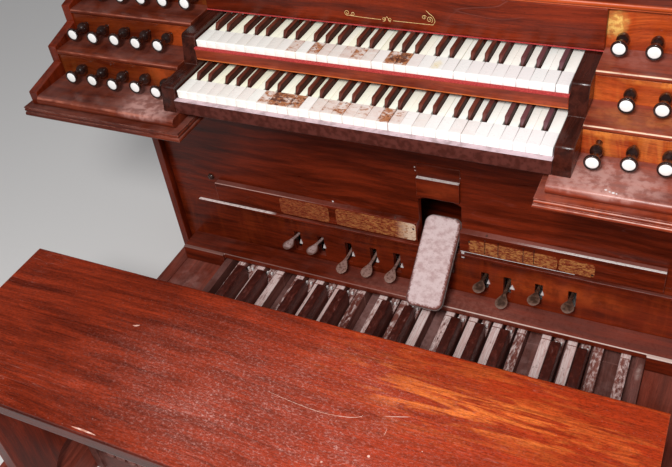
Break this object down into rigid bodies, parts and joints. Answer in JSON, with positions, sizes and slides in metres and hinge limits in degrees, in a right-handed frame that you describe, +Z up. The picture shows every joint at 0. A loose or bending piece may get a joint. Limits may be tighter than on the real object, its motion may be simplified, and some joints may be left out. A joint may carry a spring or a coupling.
{
  "type": "pipe organ console",
  "caption": "Pipe organ console: stepped keyboards between terraced stop jambs, with a swell shoe, combination pedals, a pedalboard and a bench.",
  "frame": {"origin": "middle of the console's footprint, on the floor", "axes": "+X to the player's right, +Y away from the player, +Z up"},
  "size_m": [1.58, 1.28, 1.03],
  "materials": {
    "mahogany": "gloss",
    "dark_mahogany": "gloss",
    "figured_mahogany": "gloss",
    "rosewood": "gloss",
    "ebony": "satin",
    "ivory": "satin",
    "maple": "matte",
    "pine": "matte",
    "brass": "satin",
    "iron": "matte",
    "steel": "brushed",
    "leather": "matte"
  },
  "bodies": {
    "console": {"case_sides": "mahogany", "case_back": "mahogany", "case_top": "mahogany", "nameboard": "dark_mahogany", "jamb_risers": "figured_mahogany", "jamb_treads": "dark_mahogany", "jamb_ledges": "figured_mahogany", "key_cheeks": "dark_mahogany", "key_beds": "pine", "key_slips": "figured_mahogany", "manual_naturals": "ivory", "manual_sharps": "ebony", "knee_board": "mahogany", "hatch": "mahogany", "label_rail": "mahogany", "label_plates": "brass", "toe_board": "mahogany", "toe_ledge": "dark_mahogany", "lever_rail": "steel", "swell_bracket": "iron", "side_blocks": "pine", "pedal_frame": "dark_mahogany", "pedal_naturals": "maple", "pedal_sharps": "ebony", "bench_seat": "mahogany", "bench_frame": "mahogany", "stops_past_view": "rosewood"},
    "stop_left_low_1": {"stop_left_low_1": "rosewood"},
    "stop_left_low_2": {"stop_left_low_2": "rosewood"},
    "stop_left_low_3": {"stop_left_low_3": "rosewood"},
    "stop_left_low_4": {"stop_left_low_4": "rosewood"},
    "stop_left_low_5": {"stop_left_low_5": "rosewood"},
    "stop_left_middle_1": {"stop_left_middle_1": "rosewood"},
    "stop_left_middle_2": {"stop_left_middle_2": "rosewood"},
    "stop_left_middle_3": {"stop_left_middle_3": "rosewood"},
    "stop_left_middle_4": {"stop_left_middle_4": "rosewood"},
    "stop_left_middle_5": {"stop_left_middle_5": "rosewood"},
    "stop_left_high_1": {"stop_left_high_1": "rosewood"},
    "stop_left_high_2": {"stop_left_high_2": "rosewood"},
    "stop_left_high_3": {"stop_left_high_3": "rosewood"},
    "stop_left_high_4": {"stop_left_high_4": "rosewood"},
    "stop_left_high_5": {"stop_left_high_5": "rosewood"},
    "stop_right_low_1": {"stop_right_low_1": "rosewood"},
    "stop_right_low_2": {"stop_right_low_2": "rosewood"},
    "stop_right_low_3": {"stop_right_low_3": "rosewood"},
    "stop_right_middle_1": {"stop_right_middle_1": "rosewood"},
    "stop_right_middle_2": {"stop_right_middle_2": "rosewood"},
    "stop_right_high_1": {"stop_right_high_1": "rosewood"},
    "stop_right_high_2": {"stop_right_high_2": "rosewood"},
    "combination_pedal_1": {"combination_pedal_1": "iron"},
    "combination_pedal_2": {"combination_pedal_2": "iron"},
    "combination_pedal_3": {"combination_pedal_3": "iron"},
    "combination_pedal_4": {"combination_pedal_4": "iron"},
    "combination_pedal_5": {"combination_pedal_5": "iron"},
    "combination_pedal_6": {"combination_pedal_6": "iron"},
    "combination_pedal_7": {"combination_pedal_7": "iron"},
    "combination_pedal_8": {"combination_pedal_8": "iron"},
    "combination_pedal_9": {"combination_pedal_9": "iron"},
    "swell": {"swell_shoe": "iron", "swell_tread": "leather"}
  },
  "joints": [
    {"name": "stop_left_low_1_draw", "type": "slide", "parent": "console", "child": "stop_left_low_1", "axis": [0, -1, 0], "range_m": [-0.006, 0.024]},
    {"name": "stop_left_low_2_draw", "type": "slide", "parent": "console", "child": "stop_left_low_2", "axis": [0, -1, 0], "range_m": [0, 0.03]},
    {"name": "stop_left_low_3_draw", "type": "slide", "parent": "console", "child": "stop_left_low_3", "axis": [0, -1, 0], "range_m": [-0.004, 0.026]},
    {"name": "stop_left_low_4_draw", "type": "slide", "parent": "console", "child": "stop_left_low_4", "axis": [0, -1, 0], "range_m": [0, 0.03]},
    {"name": "stop_left_low_5_draw", "type": "slide", "parent": "console", "child": "stop_left_low_5", "axis": [0, -1, 0], "range_m": [0, 0.03]},
    {"name": "stop_left_middle_1_draw", "type": "slide", "parent": "console", "child": "stop_left_middle_1", "axis": [0, -1, 0], "range_m": [-0.003, 0.027]},
    {"name": "stop_left_middle_2_draw", "type": "slide", "parent": "console", "child": "stop_left_middle_2", "axis": [0, -1, 0], "range_m": [-0.004, 0.026]},
    {"name": "stop_left_middle_3_draw", "type": "slide", "parent": "console", "child": "stop_left_middle_3", "axis": [0, -1, 0], "range_m": [-0.003, 0.027]},
    {"name": "stop_left_middle_4_draw", "type": "slide", "parent": "console", "child": "stop_left_middle_4", "axis": [0, -1, 0], "range_m": [-0.006, 0.024]},
    {"name": "stop_left_middle_5_draw", "type": "slide", "parent": "console", "child": "stop_left_middle_5", "axis": [0, -1, 0], "range_m": [-0.003, 0.027]},
    {"name": "stop_left_high_1_draw", "type": "slide", "parent": "console", "child": "stop_left_high_1", "axis": [0, -1, 0], "range_m": [0, 0.03]},
    {"name": "stop_left_high_2_draw", "type": "slide", "parent": "console", "child": "stop_left_high_2", "axis": [0, -1, 0], "range_m": [0, 0.03]},
    {"name": "stop_left_high_3_draw", "type": "slide", "parent": "console", "child": "stop_left_high_3", "axis": [0, -1, 0], "range_m": [0, 0.03]},
    {"name": "stop_left_high_4_draw", "type": "slide", "parent": "console", "child": "stop_left_high_4", "axis": [0, -1, 0], "range_m": [0, 0.03]},
    {"name": "stop_left_high_5_draw", "type": "slide", "parent": "console", "child": "stop_left_high_5", "axis": [0, -1, 0], "range_m": [0, 0.03]},
    {"name": "stop_right_low_1_draw", "type": "slide", "parent": "console", "child": "stop_right_low_1", "axis": [0, -1, 0], "range_m": [-0.012, 0.018]},
    {"name": "stop_right_low_2_draw", "type": "slide", "parent": "console", "child": "stop_right_low_2", "axis": [0, -1, 0], "range_m": [-0.002, 0.028]},
    {"name": "stop_right_low_3_draw", "type": "slide", "parent": "console", "child": "stop_right_low_3", "axis": [0, -1, 0], "range_m": [0, 0.03]},
    {"name": "stop_right_middle_1_draw", "type": "slide", "parent": "console", "child": "stop_right_middle_1", "axis": [0, -1, 0], "range_m": [0, 0.03]},
    {"name": "stop_right_middle_2_draw", "type": "slide", "parent": "console", "child": "stop_right_middle_2", "axis": [0, -1, 0], "range_m": [0, 0.03]},
    {"name": "stop_right_high_1_draw", "type": "slide", "parent": "console", "child": "stop_right_high_1", "axis": [0, -1, 0], "range_m": [0, 0.03]},
    {"name": "stop_right_high_2_draw", "type": "slide", "parent": "console", "child": "stop_right_high_2", "axis": [0, -1, 0], "range_m": [0, 0.03]},
    {"name": "combination_pedal_1_press", "type": "hinge", "parent": "console", "child": "combination_pedal_1", "pos_m": [-0.372, 0.42, 0.19], "axis": [1, 0, 0], "range_deg": [0, 16]},
    {"name": "combination_pedal_2_press", "type": "hinge", "parent": "console", "child": "combination_pedal_2", "pos_m": [-0.298, 0.42, 0.19], "axis": [1, 0, 0], "range_deg": [0, 16]},
    {"name": "combination_pedal_3_press", "type": "hinge", "parent": "console", "child": "combination_pedal_3", "pos_m": [-0.2135, 0.42, 0.19], "axis": [1, 0, 0], "range_deg": [-16, 0]},
    {"name": "combination_pedal_4_press", "type": "hinge", "parent": "console", "child": "combination_pedal_4", "pos_m": [-0.1385, 0.42, 0.19], "axis": [1, 0, 0], "range_deg": [-13, 3]},
    {"name": "combination_pedal_5_press", "type": "hinge", "parent": "console", "child": "combination_pedal_5", "pos_m": [-0.07, 0.42, 0.19], "axis": [1, 0, 0], "range_deg": [-13, 3]},
    {"name": "combination_pedal_6_press", "type": "hinge", "parent": "console", "child": "combination_pedal_6", "pos_m": [0.174, 0.42, 0.19], "axis": [1, 0, 0], "range_deg": [0, 16]},
    {"name": "combination_pedal_7_press", "type": "hinge", "parent": "console", "child": "combination_pedal_7", "pos_m": [0.2325, 0.42, 0.19], "axis": [1, 0, 0], "range_deg": [-13, 3]},
    {"name": "combination_pedal_8_press", "type": "hinge", "parent": "console", "child": "combination_pedal_8", "pos_m": [0.313, 0.42, 0.19], "axis": [1, 0, 0], "range_deg": [0, 16]},
    {"name": "combination_pedal_9_press", "type": "hinge", "parent": "console", "child": "combination_pedal_9", "pos_m": [0.396, 0.42, 0.19], "axis": [1, 0, 0], "range_deg": [0, 16]},
    {"name": "swell_rock", "type": "hinge", "parent": "console", "child": "swell", "pos_m": [0.058, 0.277, 0.241], "axis": [1, 0, 0], "range_deg": [-20, 8]}
  ]
}
